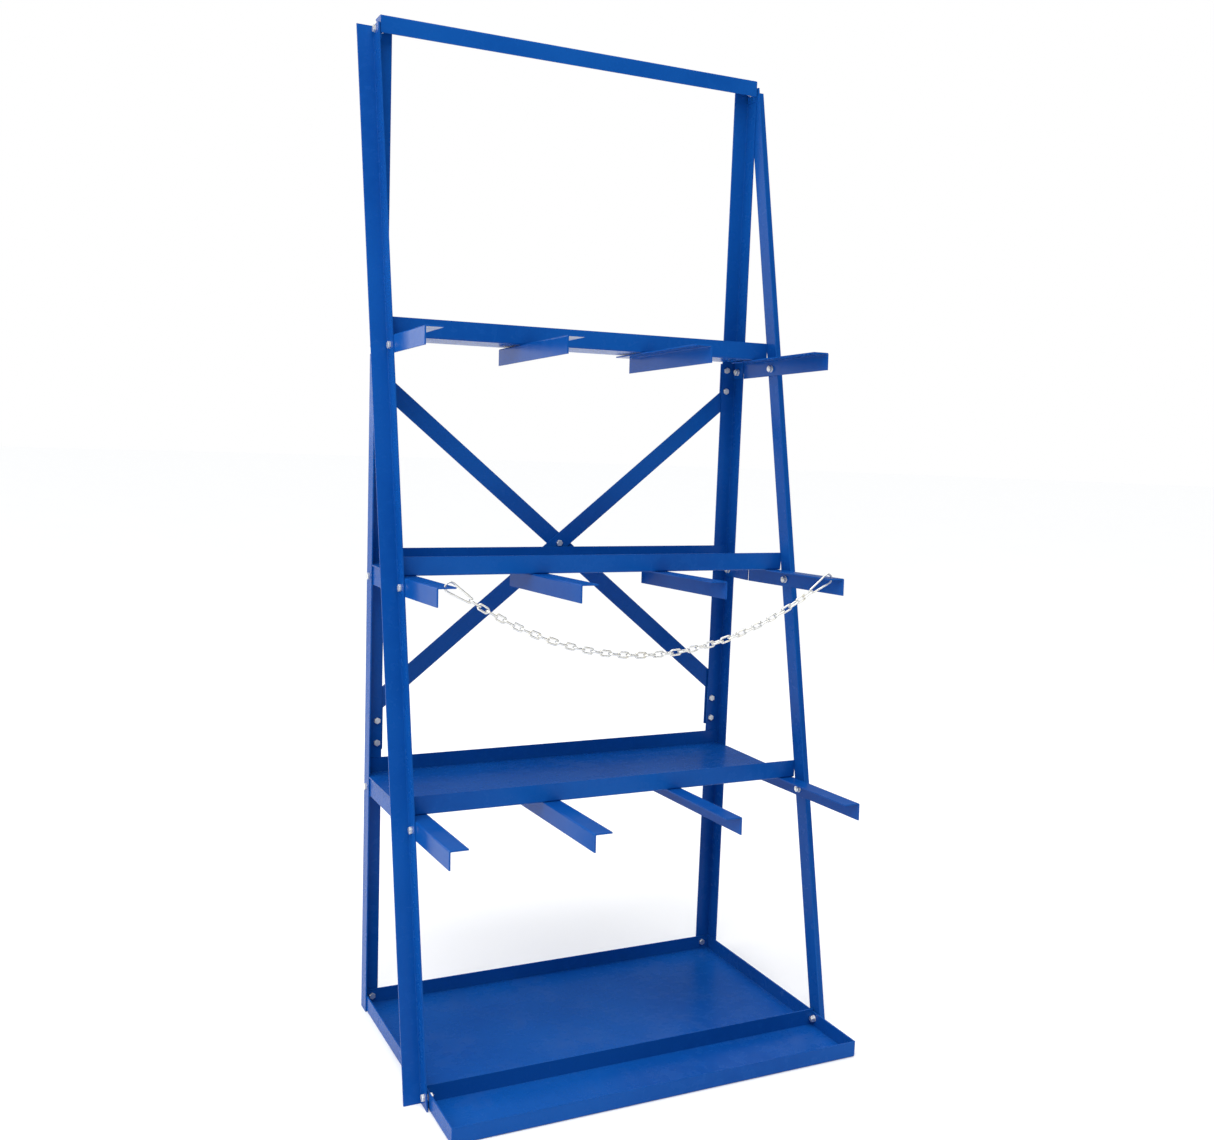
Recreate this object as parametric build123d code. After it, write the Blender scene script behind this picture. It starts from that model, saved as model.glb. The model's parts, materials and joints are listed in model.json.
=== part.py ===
from build123d import *
import math
import os

# Vertical bar rack with cantilever divider arms.  All sizes are in millimetres.
# Frame: +X to the right as seen from the front, +Y to the back, +Z up.
# Origin: on the floor, at the centre of the rack's footprint.

# Sheet and angle stock
SHEET = 3.0
ANGLE = 38.0
BEND = 3.5
INNER_BEND = 1.0
CORNER = 2.0

# Legs
LEG_WEB_X = 457.0
LEG_TOP_Z = 2119.0
FOOT_Y = -187.0
LEAN = 0.2085
REAR_Y = 296.0

# Top rail
RAIL_FRONT_Y = FOOT_Y + 443.0
RAIL_TOP_Z = 2134.0
RAIL_FACE = 35.0
RAIL_TAB_BOTTOM_Z = 2088.0
RAIL_TAB_DEPTH = 33.0

# Base tray and front ledge tray
TRAY_X = 454.0
TRAY_FRONT_Y = FOOT_Y + 31.0
TRAY_REAR_Y = REAR_Y - SHEET
TRAY_FLANGE = 35.0
LEDGE_FRONT_Y = -311.5
LEDGE_LIP = 34.0
LEDGE_REAR_FLANGE = 38.0

# Shelves: level name and height of the underside of the floor
LEVELS = {"lower": 538.0, "middle": 1004.0, "upper": 1484.0}
SHELF_FRONT_FLANGE = 39.0
SHELF_REAR_FLANGE = 35.0
SHELF_SETBACK = 40.3
SIDE_FLANGE = 40.0
SIDE_GAP = 0.5

# Divider arms; they rise a little towards their tips
ARM_LENGTH = 365.0
ARM_REACH = 198.0
ARM_RISE = 0.029
ARM_FLANGE = 38.0
ARM_WEB = 37.0
INNER_ARM_X = 165.0
ARM_BOLT_DROP = 20.0
ARM_BOLT_SETBACK = 19.0
OUTER_ARM_LAST_Y = REAR_Y - ANGLE - 4.0

# X-brace
BAR_WIDTH = 38.0
BAR_SLOPE = 0.815
BAR_CENTRE_Z = 1047.0
BAR_BOLT_X = 430.0
BAR_BOLT_Z = (606.0, 656.0, 1414.0, 1464.0)
BAR_TAB_INNER_X = 416.0
BAR_TAB_END = 16.0

# Fasteners, M8
BOLT_D = 8.0
BOLT_HOLE_D = 9.0
HEX_AF = 13.0
HEAD_H = 5.3
NUT_H = 6.5
BOLT_TAIL = 1.4
WASHER_D = 16.0
WASHER_H = 1.6
WASHER_HOLE_D = 8.6
NUT_HOLE_D = 8.2
SPACER_D = 18.0

# Retaining chain
WIRE_D = 4.0
LINK_COUNT = 41
LINK_WIDTH = 14.5
CHAIN_GAP = 0.3
CHAIN_LOW_Z = 863.0
LOOP_BIG_R = 10.0
LOOP_SMALL_R = 5.0
LOOP_SPACING = 46.0
LOOP_CENTRE_X = 425.5
LOOP_HOLE_X = 436.1
LOOP_HOLE_D = 12.0
LOOP_FROM_TIP = 16.0

# Fastener places
SHELF_REAR_BOLT_Y = REAR_Y - 21.0
SHELF_REAR_BOLT_DROP = 24.0
BASE_BOLT_Z = 20.0
BASE_REAR_BOLT_X = 433.0
TOP_BOLT = (FOOT_Y + 463.0, 2110.0)


def leg_front(z):
    """Y of the front edge of a front leg at height z."""
    return FOOT_Y + LEAN * z


def arm_tip(level):
    """Y of the front ends of the arms at one level."""
    return leg_front(LEVELS[level]) - ARM_REACH


def outer_arm_end(level):
    """Y of the rear ends of the outer arms, which stop ahead of the rear legs."""
    return min(arm_tip(level) + ARM_LENGTH, OUTER_ARM_LAST_Y)


def shelf_front(level):
    """Y of the front face of the shelf at one level."""
    return leg_front(LEVELS[level]) + SHELF_SETBACK


def arm_top(level, y):
    """Height of the top of the arms of one level at a given Y."""
    return LEVELS[level] + ARM_RISE * (shelf_front(level) - y)


def span(x0, x1, y0, y1, z0, z1):
    """Solid box between the given limits, in either order."""
    centre = ((x0 + x1) / 2, (y0 + y1) / 2, (z0 + z1) / 2)
    return Pos(*centre) * Box(abs(x1 - x0), abs(y1 - y0), abs(z1 - z0))


def drill(shape, point, axis, diameter):
    """Cut a round hole through thin sheet, centred on the point."""
    plane = Plane(origin=point, z_dir=axis)
    return shape - plane * Cylinder(diameter / 2, 4 * SHEET)


def ell_face(reach_x, reach_y, thick_x, thick_y):
    """L-shaped section with its outer corner at the origin and a formed bend."""
    points = [
        (0, 0),
        (reach_x, 0),
        (reach_x, thick_y),
        (thick_x, thick_y),
        (thick_x, reach_y),
        (0, reach_y),
    ]
    face = make_face(Polyline(*points, close=True)).face()
    outer = face.vertices().sort_by_distance((0, 0, 0))[0]
    face = face.fillet_2d(BEND, [outer])
    inner = face.vertices().sort_by_distance((thick_x, thick_y, 0))[0]
    return face.fillet_2d(INNER_BEND, [inner])


def left_front_leg():
    """Leaning angle: one flange points outward, the other forward from the bend."""
    flange_y = ANGLE * math.hypot(1, LEAN)
    sheet_y = SHEET * math.hypot(1, LEAN)
    section = Rot(0, 0, 180) * ell_face(ANGLE, flange_y, SHEET, sheet_y)
    section = Pos(-LEG_WEB_X, FOOT_Y + flange_y, 0) * section
    length = LEG_TOP_Z * math.hypot(1, LEAN)
    leg = extrude(section, amount=length, dir=(0, LEAN, 1))
    for level, z in LEVELS.items():
        bolt_z = z - ARM_BOLT_DROP
        leg = drill(leg, (-LEG_WEB_X, arm_bolt_y(level), bolt_z), (1, 0, 0), BOLT_HOLE_D)
    leg = drill(leg, (-LEG_WEB_X, base_front_bolt_y(), BASE_BOLT_Z), (1, 0, 0), BOLT_HOLE_D)
    return drill(leg, (-LEG_WEB_X, *TOP_BOLT), (1, 0, 0), BOLT_HOLE_D)


def left_rear_leg():
    """Upright angle inside the front leg's plane, its rear flange pointing inward."""
    section = Pos(-LEG_WEB_X, REAR_Y, 0) * Rot(0, 0, -90) * ell_face(ANGLE, ANGLE, SHEET, SHEET)
    leg = extrude(section, amount=LEG_TOP_Z, dir=(0, 0, 1))
    for z in LEVELS.values():
        bolt_z = z - SHELF_REAR_BOLT_DROP
        leg = drill(leg, (-LEG_WEB_X, SHELF_REAR_BOLT_Y, bolt_z), (1, 0, 0), BOLT_HOLE_D)
    leg = drill(leg, (-LEG_WEB_X, *TOP_BOLT), (1, 0, 0), BOLT_HOLE_D)
    leg = drill(leg, (-BASE_REAR_BOLT_X, REAR_Y, BASE_BOLT_Z), (0, 1, 0), BOLT_HOLE_D)
    for z in BAR_BOLT_Z:
        leg = drill(leg, (-BAR_BOLT_X, REAR_Y, z), (0, 1, 0), BOLT_HOLE_D)
    return leg


def top_rail():
    """Angle between the leg tops with a bolting tab welded inside each end."""
    section = Plane.YZ * Rot(0, 0, -90) * ell_face(RAIL_FACE, ANGLE, SHEET, SHEET)
    rail = extrude(section, amount=2 * TRAY_X, dir=(1, 0, 0))
    rail = Pos(-TRAY_X, RAIL_FRONT_Y, RAIL_TOP_Z) * rail
    tab_front = RAIL_FRONT_Y + SHEET
    tab_rear = RAIL_FRONT_Y + RAIL_TAB_DEPTH
    tab_top = RAIL_TOP_Z - SHEET
    for side in (-1, 1):
        outer = side * TRAY_X
        inner = side * (TRAY_X - SHEET)
        rail += span(inner, outer, tab_front, tab_rear, RAIL_TAB_BOTTOM_Z, tab_top)
        rail = drill(rail, (outer, *TOP_BOLT), (1, 0, 0), BOLT_HOLE_D)
    return rail


def rounded_corners(body, y):
    """Round the two upright outer corners of a tray or shelf at one Y."""
    edges = body.edges().filter_by(Axis.Z).filter_by_position(Axis.Y, y - 0.01, y + 0.01)
    ends = edges.filter_by(lambda edge: abs(abs(edge.center().X) - TRAY_X) < 0.01)
    return fillet(ends, CORNER)


def tray(front_y, rear_y, front_h, side_h, rear_h, rounded_y):
    """Floor on the ground with upturned flanges and a formed lower bend."""
    body = span(-TRAY_X, TRAY_X, front_y, rear_y, 0, SHEET)
    body += span(-TRAY_X, TRAY_X, front_y, front_y + SHEET, 0, front_h)
    body += span(-TRAY_X, TRAY_X, rear_y - SHEET, rear_y, 0, rear_h)
    for side in (-1, 1):
        body += span(side * (TRAY_X - SHEET), side * TRAY_X, front_y, rear_y, 0, side_h)
    body = rounded_corners(body, rounded_y)
    underside = body.faces().sort_by(Axis.Z)[0]
    return fillet(underside.outer_wire().edges(), BEND)


def base_tray():
    """Large tray between the legs that the stock stands in."""
    flanges = (TRAY_FLANGE, TRAY_FLANGE, TRAY_FLANGE)
    body = tray(TRAY_FRONT_Y, TRAY_REAR_Y, *flanges, TRAY_REAR_Y)
    for side in (-1, 1):
        point = (side * BASE_REAR_BOLT_X, TRAY_REAR_Y, BASE_BOLT_Z)
        body = drill(body, point, (0, 1, 0), BOLT_HOLE_D)
    return body


def front_ledge_tray():
    """Narrow tray in front of the legs, its rear flange against the base tray."""
    flanges = (LEDGE_LIP, LEDGE_LIP, LEDGE_REAR_FLANGE)
    body = tray(LEDGE_FRONT_Y, TRAY_FRONT_Y, *flanges, LEDGE_FRONT_Y)
    for side in (-1, 1):
        point = (side * TRAY_X, base_front_bolt_y(), BASE_BOLT_Z)
        body = drill(body, point, (1, 0, 0), BOLT_HOLE_D)
    return body


def shelf(level):
    """Shelf notched around the rear legs, with upturned flanges and short downturned sides."""
    z = LEVELS[level]
    front = shelf_front(level)
    body = span(-TRAY_X, TRAY_X, front, TRAY_REAR_Y, z, z + SHEET)
    body += span(-LEG_WEB_X, LEG_WEB_X, front, OUTER_ARM_LAST_Y, z, z + SHEET)
    rear_y = (TRAY_REAR_Y - SHEET, TRAY_REAR_Y)
    body += span(-LEG_WEB_X, LEG_WEB_X, front, front + SHEET, z, z + SHELF_FRONT_FLANGE)
    body += span(-TRAY_X, TRAY_X, *rear_y, z, z + SHELF_REAR_FLANGE)
    bottom = z - SIDE_FLANGE
    side_front = outer_arm_end(level) + SIDE_GAP
    for side in (-1, 1):
        outer = side * TRAY_X
        inner = side * (TRAY_X - SHEET)
        body += span(inner, outer, side_front, TRAY_REAR_Y, bottom, z + SHEET)
        point = (outer, SHELF_REAR_BOLT_Y, z - SHELF_REAR_BOLT_DROP)
        body = drill(body, point, (1, 0, 0), BOLT_HOLE_D)
    body = rounded_corners(body, TRAY_REAR_Y)
    front_edges = body.edges().filter_by_position(Axis.Y, front - 0.01, front + 0.01)
    return fillet(front_edges.filter_by(Axis.X).group_by(Axis.Z)[0], BEND)


def arm(web_x, inward, level, length=ARM_LENGTH):
    """Angle under the shelf: web hangs down at web_x, top flange runs inward."""
    section = Plane.XZ * ell_face(ARM_FLANGE, ARM_WEB, SHEET, SHEET)
    body = extrude(section, amount=length, dir=(0, 1, 0))
    body = Rot(0, 180, 0) * body
    if inward > 0:
        body = mirror(body, about=Plane.YZ)
    body = Pos(0, -ARM_REACH - SHELF_SETBACK, 0) * body
    body = Rot(-math.degrees(math.atan(ARM_RISE)), 0, 0) * body
    return Pos(web_x, shelf_front(level), LEVELS[level]) * body


def outer_arm(side, level):
    """Arm bolted straight to the inner face of a front leg."""
    web_x = side * LEG_WEB_X
    body = arm(web_x, -side, level, outer_arm_end(level) - arm_tip(level))
    bolt_z = LEVELS[level] - ARM_BOLT_DROP
    body = drill(body, (web_x, arm_bolt_y(level), bolt_z), (1, 0, 0), BOLT_HOLE_D)
    if level == "middle":
        loop_point = (side * LOOP_HOLE_X, chain_y(), loop_centre_z())
        body = drill(body, loop_point, (0, 0, 1), LOOP_HOLE_D)
    return body


def brace_bar(rise, front_y):
    """Flat bar rising to the right (+1) or left (-1), with vertical end tabs."""
    slope = math.degrees(math.atan(BAR_SLOPE))
    mid_y = front_y + SHEET / 2
    bar = Rot(0, -rise * slope, 0) * Box(4 * LEG_WEB_X, SHEET, BAR_WIDTH)
    bar = Pos(0, mid_y, BAR_CENTRE_Z) * bar
    bar &= span(-TRAY_X, TRAY_X, front_y, front_y + SHEET, 0, LEG_TOP_Z)
    reach = BAR_SLOPE * (TRAY_X + BAR_TAB_INNER_X) / 2
    lower = (-rise, BAR_BOLT_Z[0] - BAR_TAB_END, BAR_CENTRE_Z - reach)
    upper = (rise, BAR_BOLT_Z[3] + BAR_TAB_END, BAR_CENTRE_Z + reach)
    for side, end_z, join_z in (lower, upper):
        bar += span(
            side * BAR_TAB_INNER_X, side * TRAY_X, front_y, front_y + SHEET, end_z, join_z
        )
    for x, z in brace_bolt_places(rise):
        bar = drill(bar, (x, mid_y, z), (0, 1, 0), BOLT_HOLE_D)
    return drill(bar, (0, mid_y, BAR_CENTRE_Z), (0, 1, 0), BOLT_HOLE_D)


def brace_bolt_places(rise):
    """X and Z of the four bolts at the ends of one brace bar."""
    lower = [(-rise * BAR_BOLT_X, z) for z in BAR_BOLT_Z[:2]]
    upper = [(rise * BAR_BOLT_X, z) for z in BAR_BOLT_Z[2:]]
    return lower + upper


def arm_bolt_y(level):
    """Y of the bolt that holds an outer arm to the front leg."""
    return leg_front(LEVELS[level] - ARM_BOLT_DROP) + ARM_BOLT_SETBACK


def base_front_bolt_y():
    """Y of the bolt between a front leg and the ledge tray."""
    return FOOT_Y + ARM_BOLT_SETBACK


def ring(outer_d, inner_d, height):
    """Flat ring standing on its local XY plane."""
    outer = Cylinder(outer_d / 2, height, align=(Align.CENTER, Align.CENTER, Align.MIN))
    return outer - Cylinder(inner_d / 2, 4 * height)


def hex_bolt(grip):
    """Bolt along local +Z, its head seated at the local origin."""
    head = extrude(RegularPolygon(HEX_AF / 2, 6, major_radius=False), HEAD_H)
    head = chamfer(head.faces().sort_by(Axis.Z)[0].edges(), 0.6)
    length = grip + WASHER_H + NUT_H + BOLT_TAIL
    shank = Cylinder(BOLT_D / 2, length, align=(Align.CENTER, Align.CENTER, Align.MIN))
    return Pos(0, 0, -HEAD_H) * head + shank


def hex_nut(grip):
    """Nut seated on the washer at the far side of the grip."""
    nut = extrude(RegularPolygon(HEX_AF / 2, 6, major_radius=False), NUT_H)
    nut = chamfer(nut.faces().sort_by(Axis.Z)[-1].edges(), 0.6)
    nut -= Cylinder(NUT_HOLE_D / 2, 4 * NUT_H)
    return Pos(0, 0, grip + WASHER_H) * nut


def fastener_group(name, places):
    """Bolts, nuts and washers for a list of (head face point, direction, grip)."""
    bolts = []
    nuts = []
    washers = []
    for point, direction, grip in places:
        seat = Plane(origin=point, z_dir=direction)
        bolts.append(seat * hex_bolt(grip))
        nuts.append(seat * hex_nut(grip))
        washers.append(seat * Pos(0, 0, grip) * ring(WASHER_D, WASHER_HOLE_D, WASHER_H))
    return {
        f"{name}_bolts": Compound(children=bolts),
        f"{name}_nuts": Compound(children=nuts),
        f"{name}_washers": Compound(children=washers),
    }


def arm_places():
    """Bolts through front leg and arm web."""
    head_x = LEG_WEB_X + SHEET
    places = []
    for level, z in LEVELS.items():
        for side in (-1, 1):
            point = (side * head_x, arm_bolt_y(level), z - ARM_BOLT_DROP)
            places.append((point, (-side, 0, 0), 2 * SHEET))
    return places


def shelf_rear_places():
    """Bolts through rear leg and shelf side flange."""
    places = []
    for z in LEVELS.values():
        for side in (-1, 1):
            point = (side * LEG_WEB_X, SHELF_REAR_BOLT_Y, z - SHELF_REAR_BOLT_DROP)
            places.append((point, (-side, 0, 0), 2 * SHEET))
    return places


def base_places():
    """Bolts that hold the base tray and the ledge tray to the legs."""
    places = []
    for side in (-1, 1):
        front = (side * (LEG_WEB_X + SHEET), base_front_bolt_y(), BASE_BOLT_Z)
        rear = (side * BASE_REAR_BOLT_X, TRAY_REAR_Y - SHEET, BASE_BOLT_Z)
        places.append((front, (-side, 0, 0), 3 * SHEET))
        places.append((rear, (0, 1, 0), 2 * SHEET))
    return places


def brace_places():
    """Bolts at the brace bar ends; the rear bar stands off on spacers."""
    head_y = REAR_Y - SHEET
    places = []
    for rise, grip in ((1, 2 * SHEET), (-1, 3 * SHEET)):
        for x, z in brace_bolt_places(rise):
            places.append(((x, head_y, z), (0, 1, 0), grip))
    return places


def top_places():
    """Bolts through both legs and the rail tab at the top."""
    head_x = LEG_WEB_X + SHEET
    return [((side * head_x, *TOP_BOLT), (-side, 0, 0), 3 * SHEET) for side in (-1, 1)]


def brace_centre_bolt():
    """Bolt through the crossing of the two bars."""
    seat = Plane(origin=(0, REAR_Y, BAR_CENTRE_Z), z_dir=(0, 1, 0))
    return seat * Rot(0, 0, 30) * hex_bolt(2 * SHEET)


def brace_centre_nut():
    """Nut behind the crossing of the two bars."""
    seat = Plane(origin=(0, REAR_Y, BAR_CENTRE_Z), z_dir=(0, 1, 0))
    return seat * Rot(0, 0, 30) * hex_nut(2 * SHEET)


def brace_centre_washer():
    """Washer under the nut at the crossing."""
    seat = Plane(origin=(0, REAR_Y + 2 * SHEET, BAR_CENTRE_Z), z_dir=(0, 1, 0))
    return seat * ring(WASHER_D, WASHER_HOLE_D, WASHER_H)


def leg_spacers():
    """Spacers between the front legs and the ledge tray's side flanges."""
    spacers = []
    for side in (-1, 1):
        point = (side * TRAY_X, base_front_bolt_y(), BASE_BOLT_Z)
        seat = Plane(origin=point, z_dir=(side, 0, 0))
        spacers.append(seat * ring(SPACER_D, BOLT_HOLE_D, SHEET))
    return Compound(children=spacers)


def brace_spacers():
    """Spacers between the rear legs and the rear brace bar."""
    spacers = []
    for x, z in brace_bolt_places(-1):
        seat = Plane(origin=(x, REAR_Y, z), z_dir=(0, 1, 0))
        spacers.append(seat * ring(SPACER_D, BOLT_HOLE_D, SHEET))
    return Compound(children=spacers)


def chain_y():
    """Y of the vertical plane the chain hangs in."""
    return arm_tip("middle") + LOOP_FROM_TIP


def loop_centre_z():
    """Height of the centre of a loop's big end, at mid thickness of the arm's flange."""
    return arm_top("middle", chain_y()) - SHEET / 2


def chain_sag_shape(half_span, sag):
    """Catenary parameter a for which a * (cosh(half_span / a) - 1) equals sag."""
    low = half_span / 10
    high = half_span * 100
    for _ in range(200):
        a = (low + high) / 2
        if a * (math.cosh(half_span / a) - 1) > sag:
            low = a
        else:
            high = a
    return a


def chain_layout():
    """Loop direction in degrees and the chain's contact points, left to right."""
    reach = LOOP_SPACING + LOOP_SMALL_R - (WIRE_D + CHAIN_GAP) / 2
    loop_z = loop_centre_z()
    angle = 30.0
    for _ in range(60):
        end_x = LOOP_CENTRE_X - reach * math.cos(math.radians(angle))
        end_z = loop_z - reach * math.sin(math.radians(angle))
        a = chain_sag_shape(end_x, end_z - CHAIN_LOW_Z)
        angle = math.degrees(math.atan(math.sinh(end_x / a)))
    half_length = a * math.sinh(end_x / a)
    points = []
    for i in range(LINK_COUNT + 1):
        s = half_length * (2 * i / LINK_COUNT - 1)
        x = a * math.asinh(s / a)
        points.append((x, CHAIN_LOW_Z + a * (math.cosh(x / a) - 1)))
    return angle, points


def wire_ring(path):
    """Round wire swept along a closed planar path in the local XY plane."""
    start = path.edges()[0]
    section = Plane(origin=start @ 0, z_dir=start % 0) * Circle(WIRE_D / 2)
    return sweep(section, path=path)


def link(length):
    """Stadium-shaped link along local X, lying in the local XY plane."""
    r = (LINK_WIDTH - WIRE_D) / 2
    h = length / 2 - r
    path = Wire(
        [
            Line((-h, r), (h, r)),
            ThreePointArc((h, r), (h + r, 0), (h, -r)),
            Line((h, -r), (-h, -r)),
            ThreePointArc((-h, -r), (-h - r, 0), (-h, r)),
        ]
    )
    return wire_ring(path)


def chain_links():
    """All the links, each a separate ring, alternating flat and upright."""
    _, points = chain_layout()
    links = []
    for i in range(LINK_COUNT):
        x0, z0 = points[i]
        x1, z1 = points[i + 1]
        chord = math.hypot(x1 - x0, z1 - z0)
        one = link(chord + WIRE_D + CHAIN_GAP)
        roll = 0 if i % 2 == 0 else 90
        pitch = -math.degrees(math.atan2(z1 - z0, x1 - x0))
        middle = ((x0 + x1) / 2, chain_y(), (z0 + z1) / 2)
        links.append(Pos(*middle) * Rot(0, pitch, 0) * Rot(roll, 0, 0) * one)
    return Compound(children=links)


def chain_loop(side):
    """Pear-shaped wire loop through the hole near an outer arm's tip."""
    angle, _ = chain_layout()
    lean = math.asin((LOOP_BIG_R - LOOP_SMALL_R) / LOOP_SPACING)
    sin_l = math.sin(lean)
    cos_l = math.cos(lean)
    big = (LOOP_BIG_R * sin_l, LOOP_BIG_R * cos_l)
    small = (LOOP_SPACING + LOOP_SMALL_R * sin_l, LOOP_SMALL_R * cos_l)
    path = Wire(
        [
            Line(big, small),
            ThreePointArc(small, (LOOP_SPACING + LOOP_SMALL_R, 0), (small[0], -small[1])),
            Line((small[0], -small[1]), (big[0], -big[1])),
            ThreePointArc((big[0], -big[1]), (-LOOP_BIG_R, 0), big),
        ]
    )
    loop = Rot(0, angle, 0) * Rot(90, 0, 0) * wire_ring(path)
    loop = Pos(-LOOP_CENTRE_X, chain_y(), loop_centre_z()) * loop
    if side > 0:
        loop = mirror(loop, about=Plane.YZ)
    return loop


def nodes():
    """Every named node and its shape."""
    shapes = {
        "left_front_leg": left_front_leg(),
        "right_front_leg": mirror(left_front_leg(), about=Plane.YZ),
        "left_rear_leg": left_rear_leg(),
        "right_rear_leg": mirror(left_rear_leg(), about=Plane.YZ),
        "top_rail": top_rail(),
        "base_tray": base_tray(),
        "front_ledge_tray": front_ledge_tray(),
        "brace_bar_front": brace_bar(1, REAR_Y),
        "brace_bar_rear": brace_bar(-1, REAR_Y + SHEET),
    }
    for level in LEVELS:
        shapes[f"{level}_shelf"] = shelf(level)
        shapes[f"{level}_arm_left"] = outer_arm(-1, level)
        shapes[f"{level}_arm_mid_left"] = arm(-INNER_ARM_X, 1, level)
        shapes[f"{level}_arm_mid_right"] = arm(INNER_ARM_X, -1, level)
        shapes[f"{level}_arm_right"] = outer_arm(1, level)
    shapes.update(fastener_group("arm", arm_places()))
    shapes.update(fastener_group("shelf_rear", shelf_rear_places()))
    shapes.update(fastener_group("base", base_places()))
    shapes.update(fastener_group("brace_end", brace_places()))
    shapes.update(fastener_group("top", top_places()))
    shapes["brace_centre_bolt"] = brace_centre_bolt()
    shapes["brace_centre_nut"] = brace_centre_nut()
    shapes["brace_centre_washer"] = brace_centre_washer()
    shapes["leg_spacers"] = leg_spacers()
    shapes["brace_spacers"] = brace_spacers()
    shapes["chain_loop_left"] = chain_loop(-1)
    shapes["chain_loop_right"] = chain_loop(1)
    shapes["chain_links"] = chain_links()
    return shapes


os.makedirs("parts", exist_ok=True)
for node, shape in nodes().items():
    export_step(shape, f"parts/{node}.step")
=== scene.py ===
"""Looks for the vertical bar rack: materials, light, floor and camera around the CAD frame."""

import json
import math

import bpy
from mathutils import Matrix, Vector

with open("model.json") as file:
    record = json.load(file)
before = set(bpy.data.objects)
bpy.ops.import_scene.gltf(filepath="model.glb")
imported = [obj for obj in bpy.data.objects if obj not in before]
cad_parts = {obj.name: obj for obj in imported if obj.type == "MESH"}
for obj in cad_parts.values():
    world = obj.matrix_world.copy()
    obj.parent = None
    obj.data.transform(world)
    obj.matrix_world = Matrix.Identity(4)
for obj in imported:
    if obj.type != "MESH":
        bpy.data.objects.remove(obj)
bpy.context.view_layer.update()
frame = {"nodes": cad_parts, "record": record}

# Camera: place and reach in metres, angles in degrees, lens and sensor in millimetres.
CAMERA_PLACE = (-1.185667, -2.309499, 1.292956)
CAMERA_YAW = 25.006
CAMERA_PITCH = -6.774
CAMERA_ROLL = 1.887
CAMERA_LENS = 36.677
CAMERA_SENSOR = 36.0
CAMERA_SHIFT = (0.03098, 0.01117)
CAMERA_REACH = 100.0

# Colours are linear RGB.
BLUE = (0.004, 0.078, 0.345)
BLUE_LIGHT = (0.006, 0.092, 0.38)
BLUE_DEEP = (0.002, 0.058, 0.29)
BLUE_WORN = (0.035, 0.13, 0.4)
DUST = (0.16, 0.2, 0.27)
ZINC = (0.86, 0.86, 0.83)
ZINC_DARK = (0.52, 0.52, 0.5)
ZINC_WARM = (0.88, 0.85, 0.76)

# Paint. Edge and depths are in metres, scales are noise scales per metre.
PAINT_EDGE = 0.0009
PAINT_SPECULAR = 0.08
CLOUD_SCALE = 2.6
MOTTLE_SCALE = 38.0
SCRATCH_SCALE = 5.0
SCRATCH_ALONG = (60, 4, 4)
SCRATCH_ACROSS = (4, 60, 9)
PATCH_SCALE = 7.0
CHIP_SCALE = 90.0
FILM_SCALE = 11.0
FILM_AMOUNT = 0.07
EDGE_WEAR = 0.5
SCUFF_DULLING = 0.25
DUST_DULLING = 1.6
PEEL_SCALE = 620.0
PEEL_STRENGTH = 0.22
PEEL_DEPTH = 0.00012
WAVE_SCALE = 24.0
WAVE_STRENGTH = 0.12
WAVE_DEPTH = 0.0012

# Slot of each paint: material name, offset of its noise, roughness, amount of scuffs.
PAINTS = {
    "blue_frame": ("powder_coat_frame", (0.0, 0.0, 0.0), 0.25, 0.3),
    "blue_arm": ("powder_coat_arm", (3.1, 1.7, 0.4), 0.18, 0.4),
    "blue_tray": ("powder_coat_tray", (7.3, 4.9, 2.2), 0.25, 0.5),
}

# Zinc plate, in the same units.
ZINC_EDGE = 0.0005
ZINC_METALLIC = 0.85
TINT_SCALE = 70.0
GRIME_SCALE = 210.0
GRIME_DULLING = 0.3
EDGE_SHINE = 0.5
GRAIN_SCALE = 900.0
GRAIN_STRENGTH = 0.25
GRAIN_DEPTH = 0.00008

# Slot of each zinc finish, also its material name: roughness, amount of grime.
ZINC_FINISHES = {
    "zinc_fastener": (0.42, 0.25),
    "zinc_chain": (0.32, 0.4),
}

# Floor: a disc just under the rack, radius and drop in metres.
FLOOR_RADIUS = 60.0
FLOOR_SIDES = 128
FLOOR_DROP = 0.0005
FLOOR_ROUGHNESS = 0.75
FLOOR_GLOW = 0.12
FLOOR_GREYS = ((0.9, 0.9, 0.9), (0.93, 0.93, 0.93))
FLOOR_CLOUD_SCALE = 1.4

# Lights. The overhead sun's strength is in watts per square metre, its angles in degrees.
# The soft lights have a place, target and size in metres and a power in watts.
OVERHEAD_STRENGTH = 2.65
OVERHEAD_SPREAD = 70
OVERHEAD_TILT = (14, -10)
SOFT_LIGHTS = {
    "key": ((-1.5, -2.4, 3.3), (0, 0, 1.7), 1.4, 30),
    "side": ((-3.0, 0.0, 1.6), (0, 0, 1.1), 1.6, 26),
    "panel": ((-2.4, 4.2, 2.4), (-0.4, 0, 1.2), 2.4, 34),
    "back": ((2.6, 2.8, 3.6), (0, 0, 1.1), 1.6, 30),
}
BACKDROP = 1.0
FILL_COLOUR = (0.94, 0.97, 1)
FILL_STRENGTH = 0.22


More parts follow.
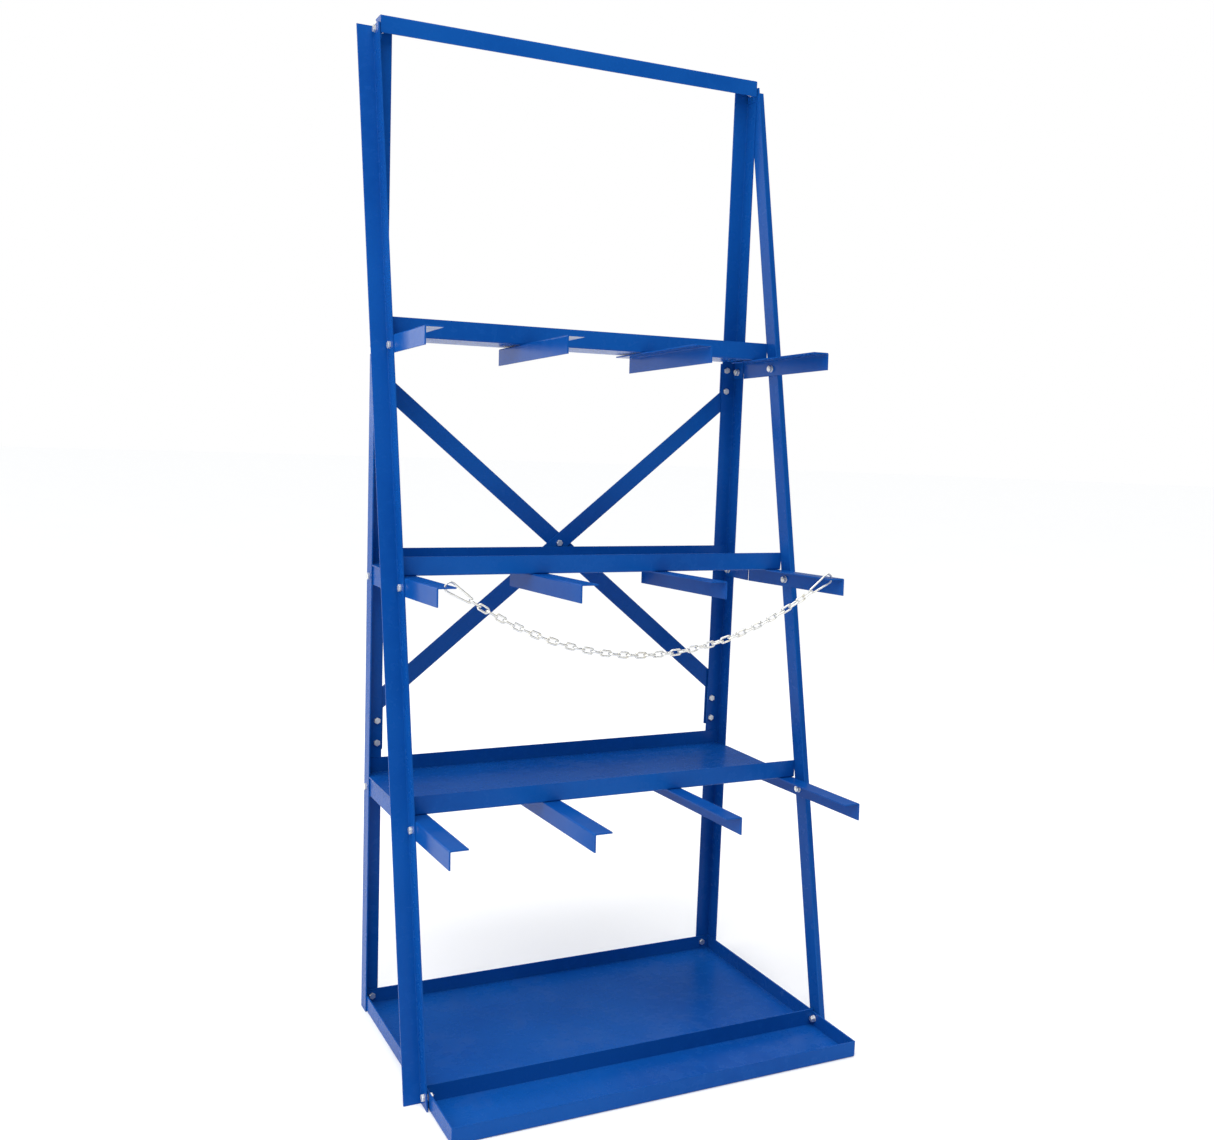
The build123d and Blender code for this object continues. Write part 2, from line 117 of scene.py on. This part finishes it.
class Graph:
    """Small helper that builds one procedural material around a Principled shader."""

    def __init__(self, name):
        self.material = bpy.data.materials.new(name)
        self.material.use_nodes = True
        self.tree = self.material.node_tree
        self.shader = self.tree.nodes["Principled BSDF"]
        self.place = self.node("ShaderNodeTexCoord").outputs["Object"]

    def node(self, kind, settings=None, **inputs):
        """Add a node, set its options, and link or set its inputs by name."""
        made = self.tree.nodes.new(kind)
        for key, value in (settings or {}).items():
            setattr(made, key, value)
        for key, value in inputs.items():
            self.feed(made.inputs[key.replace("_", " ")], value)
        return made

    def feed(self, socket, value):
        """Link a socket into another, or set its constant."""
        if isinstance(value, bpy.types.NodeSocket):
            self.tree.links.new(value, socket)
        else:
            socket.default_value = value

    def noise(self, scale, detail=4.0, roughness=0.5, stretch=(1, 1, 1), offset=(0, 0, 0)):
        """Noise in object space, stretched along the axes."""
        mapped = self.node("ShaderNodeMapping", Vector=self.place, Scale=stretch, Location=offset)
        made = self.node(
            "ShaderNodeTexNoise",
            Vector=mapped.outputs["Vector"],
            Scale=scale,
            Detail=detail,
            Roughness=roughness,
        )
        return made.outputs["Fac"]

    def spread(self, value, low, high, to_low=0.0, to_high=1.0):
        """Map a range of values to another, smoothly and clamped."""
        made = self.node("ShaderNodeMapRange", {"interpolation_type": "SMOOTHSTEP"}, Value=value)
        for index, number in enumerate((low, high, to_low, to_high), start=1):
            made.inputs[index].default_value = number
        return made.outputs["Result"]

    def math(self, operation, first, second=0.0):
        """One arithmetic step."""
        made = self.node("ShaderNodeMath", {"operation": operation})
        self.feed(made.inputs[0], first)
        self.feed(made.inputs[1], second)
        return made.outputs["Value"]

    def mix(self, factor, first, second):
        """Blend two colours; a plain colour gets full alpha."""
        made = self.node("ShaderNodeMix", {"data_type": "RGBA"})
        self.feed(made.inputs[0], factor)
        for index, colour in ((6, first), (7, second)):
            plain = isinstance(colour, tuple)
            self.feed(made.inputs[index], (*colour, 1.0) if plain else colour)
        return made.outputs[2]

    def facing_up(self):
        """1 on faces that look up, 0 elsewhere."""
        parts = self.node("ShaderNodeSeparateXYZ")
        geometry = self.node("ShaderNodeNewGeometry")
        self.feed(parts.inputs[0], geometry.outputs["Normal"])
        return self.spread(parts.outputs["Z"], 0.7, 0.95)

    def edge(self, radius):
        """Normal rounded over the edges, and how far it turns away from the flat face."""
        rounded = self.node("ShaderNodeBevel", {"samples": 6}, Radius=radius)
        geometry = self.node("ShaderNodeNewGeometry")
        product = self.node("ShaderNodeVectorMath", {"operation": "DOT_PRODUCT"})
        self.feed(product.inputs[0], rounded.outputs["Normal"])
        self.feed(product.inputs[1], geometry.outputs["Normal"])
        turned = self.math("SUBTRACT", 1.0, product.outputs["Value"])
        return rounded.outputs["Normal"], turned

    def bump(self, height, strength, distance, normal):
        """Bump on top of a given normal."""
        made = self.node("ShaderNodeBump", Height=height, Strength=strength, Distance=distance)
        self.feed(made.inputs["Normal"], normal)
        return made.outputs["Normal"]


def powder_coat(name, offset, roughness, scuff_amount):
    """Semi-gloss blue powder coat: orange peel, scuffs, dust on flats, thin wear on edges."""
    g = Graph(name)
    cloud = g.noise(CLOUD_SCALE, 3.0, 0.5, offset=offset)
    mottle = g.noise(MOTTLE_SCALE, 4.0, 0.6, offset=offset)
    colour = g.mix(g.spread(cloud, 0.35, 0.65), BLUE_DEEP, BLUE_LIGHT)
    colour = g.mix(g.spread(mottle, 0.3, 0.7, 0.35, 0.75), colour, BLUE)

    # long fine scratches in two directions, where stock is slid in and out
    along = g.noise(SCRATCH_SCALE, 5.0, 0.65, stretch=SCRATCH_ALONG, offset=offset)
    across = g.noise(SCRATCH_SCALE, 5.0, 0.65, stretch=SCRATCH_ACROSS, offset=offset)
    patches = g.spread(g.noise(PATCH_SCALE, 3.0, 0.5, offset=offset), 0.5, 0.68)
    scratches = g.math("MAXIMUM", g.spread(along, 0.64, 0.72), g.spread(across, 0.64, 0.72))
    scuffs = g.math("MULTIPLY", g.math("MULTIPLY", scratches, patches), scuff_amount)
    colour = g.mix(scuffs, colour, BLUE_WORN)

    rounded, turned = g.edge(PAINT_EDGE)
    broken = g.spread(g.noise(CHIP_SCALE, 4.0, 0.6, offset=offset), 0.45, 0.7)
    wear = g.math("MULTIPLY", g.spread(turned, 0.04, 0.3, 0.0, EDGE_WEAR), broken)
    colour = g.mix(wear, colour, BLUE_WORN)

    film = g.noise(FILM_SCALE, 5.0, 0.7, offset=offset)
    dust = g.math("MULTIPLY", g.spread(film, 0.45, 0.8, 0.0, FILM_AMOUNT), g.facing_up())
    colour = g.mix(dust, colour, DUST)
    g.feed(g.shader.inputs["Base Color"], colour)

    gloss = g.spread(mottle, 0.25, 0.75, roughness - 0.04, roughness + 0.05)
    dulled = g.math("ADD", gloss, g.math("MULTIPLY", scuffs, SCUFF_DULLING))
    dulled = g.math("ADD", dulled, g.math("MULTIPLY", dust, DUST_DULLING))
    g.feed(g.shader.inputs["Roughness"], dulled)
    g.shader.inputs["Specular IOR Level"].default_value = PAINT_SPECULAR

    peel = g.noise(PEEL_SCALE, 2.0, 0.45)
    wave = g.noise(WAVE_SCALE, 2.0, 0.4, offset=offset)
    normal = g.bump(peel, PEEL_STRENGTH, PEEL_DEPTH, rounded)
    normal = g.bump(wave, WAVE_STRENGTH, WAVE_DEPTH, normal)
    g.feed(g.shader.inputs["Normal"], normal)
    return g.material


def zinc(name, roughness, grime_amount):
    """Bright zinc plate: cool and warm patches, grime in spots, fine grain, bright edges."""
    g = Graph(name)
    tint = g.noise(TINT_SCALE, 3.0, 0.5)
    grime = g.spread(g.noise(GRIME_SCALE, 5.0, 0.65), 0.48, 0.75, 0.0, grime_amount)
    colour = g.mix(g.spread(tint, 0.4, 0.65), ZINC, ZINC_WARM)
    colour = g.mix(grime, colour, ZINC_DARK)
    rounded, turned = g.edge(ZINC_EDGE)
    colour = g.mix(g.spread(turned, 0.05, 0.4, 0.0, EDGE_SHINE), colour, ZINC)
    g.feed(g.shader.inputs["Base Color"], colour)
    g.shader.inputs["Metallic"].default_value = ZINC_METALLIC
    grain = g.noise(GRAIN_SCALE, 3.0, 0.6)
    low = g.spread(grain, 0.3, 0.7, roughness - 0.06, roughness + 0.08)
    dulled = g.math("ADD", low, g.math("MULTIPLY", grime, GRIME_DULLING))
    g.feed(g.shader.inputs["Roughness"], dulled)
    g.feed(g.shader.inputs["Normal"], g.bump(grain, GRAIN_STRENGTH, GRAIN_DEPTH, rounded))
    return g.material


def dress(materials):
    """Give every CAD node the material of its slot."""
    for part in frame["record"]["subparts"]:
        data = frame["nodes"][part["node"]].data
        data.materials.clear()
        data.materials.append(materials[part["material_slot"]])


def floor_material():
    """Pale matt studio floor with a faint glow, so that it stays white to the horizon."""
    g = Graph("studio_floor")
    cloud = g.noise(FLOOR_CLOUD_SCALE, 3.0, 0.5)
    g.feed(g.shader.inputs["Base Color"], g.mix(cloud, *FLOOR_GREYS))
    g.shader.inputs["Roughness"].default_value = FLOOR_ROUGHNESS
    g.shader.inputs["Emission Color"].default_value = (1, 1, 1, 1)
    g.shader.inputs["Emission Strength"].default_value = FLOOR_GLOW
    return g.material


def make_floor():
    """Flat round floor under the rack, wide enough to reach the horizon evenly."""
    mesh = bpy.data.meshes.new("floor")
    turns = [2 * math.pi * side / FLOOR_SIDES for side in range(FLOOR_SIDES)]
    rim = [(FLOOR_RADIUS * math.cos(a), FLOOR_RADIUS * math.sin(a), 0) for a in turns]
    mesh.from_pydata(rim, [], [tuple(range(FLOOR_SIDES))])
    floor = bpy.data.objects.new("floor", mesh)
    floor.location.z = -FLOOR_DROP
    mesh.materials.append(floor_material())
    bpy.context.scene.collection.objects.link(floor)


def soft_light(name, place, target, size, power):
    """White square area light aimed at a point."""
    data = bpy.data.lights.new(name, "AREA")
    data.shape = "SQUARE"
    data.size = size
    data.energy = power
    light = bpy.data.objects.new(name, data)
    light.location = place
    aim = Vector(target) - Vector(place)
    light.rotation_euler = aim.to_track_quat("-Z", "Y").to_euler()
    bpy.context.scene.collection.objects.link(light)


def overhead_light():
    """Very soft sun from almost straight above, so that the floor is lit evenly to the horizon."""
    data = bpy.data.lights.new("overhead", "SUN")
    data.energy = OVERHEAD_STRENGTH
    data.angle = math.radians(OVERHEAD_SPREAD)
    light = bpy.data.objects.new("overhead", data)
    light.rotation_euler = (*(math.radians(tilt) for tilt in OVERHEAD_TILT), 0)
    bpy.context.scene.collection.objects.link(light)


def make_world():
    """White backdrop for the camera, dimmer even light for everything else."""
    world = bpy.data.worlds.new("studio")
    bpy.context.scene.world = world
    world.use_nodes = True
    tree = world.node_tree
    tree.nodes.clear()
    seen = tree.nodes.new("ShaderNodeBackground")
    seen.inputs["Color"].default_value = (1, 1, 1, 1)
    seen.inputs["Strength"].default_value = BACKDROP
    lit = tree.nodes.new("ShaderNodeBackground")
    lit.inputs["Color"].default_value = (*FILL_COLOUR, 1)
    lit.inputs["Strength"].default_value = FILL_STRENGTH
    ray = tree.nodes.new("ShaderNodeLightPath")
    mixed = tree.nodes.new("ShaderNodeMixShader")
    out = tree.nodes.new("ShaderNodeOutputWorld")
    tree.links.new(ray.outputs["Is Camera Ray"], mixed.inputs[0])
    tree.links.new(lit.outputs[0], mixed.inputs[1])
    tree.links.new(seen.outputs[0], mixed.inputs[2])
    tree.links.new(mixed.outputs[0], out.inputs["Surface"])


def make_camera():
    """Camera from its place, yaw to the right of +Y, pitch and roll."""
    yaw, pitch, roll = (math.radians(a) for a in (CAMERA_YAW, CAMERA_PITCH, CAMERA_ROLL))
    ahead = Vector(
        (math.sin(yaw) * math.cos(pitch), math.cos(yaw) * math.cos(pitch), math.sin(pitch))
    )
    right = Vector((math.cos(yaw), -math.sin(yaw), 0))
    up = right.cross(ahead)
    right_rolled = right * math.cos(roll) + up * math.sin(roll)
    up_rolled = up * math.cos(roll) - right * math.sin(roll)
    data = bpy.data.cameras.new("camera")
    data.sensor_width = CAMERA_SENSOR
    data.lens = CAMERA_LENS
    data.shift_x, data.shift_y = CAMERA_SHIFT
    data.clip_end = CAMERA_REACH
    camera = bpy.data.objects.new("camera", data)
    turn = Matrix((right_rolled, up_rolled, -ahead)).transposed().to_4x4()
    camera.matrix_world = Matrix.Translation(CAMERA_PLACE) @ turn
    bpy.context.scene.collection.objects.link(camera)
    bpy.context.scene.camera = camera


make_camera()
bpy.context.scene.view_settings.view_transform = "Standard"
finishes = {slot: powder_coat(*look) for slot, look in PAINTS.items()}
finishes.update((slot, zinc(slot, *look)) for slot, look in ZINC_FINISHES.items())
dress(finishes)
make_floor()
make_world()
overhead_light()
for light_name, (place, target, size, power) in SOFT_LIGHTS.items():
    soft_light(light_name, place, target, size, power)
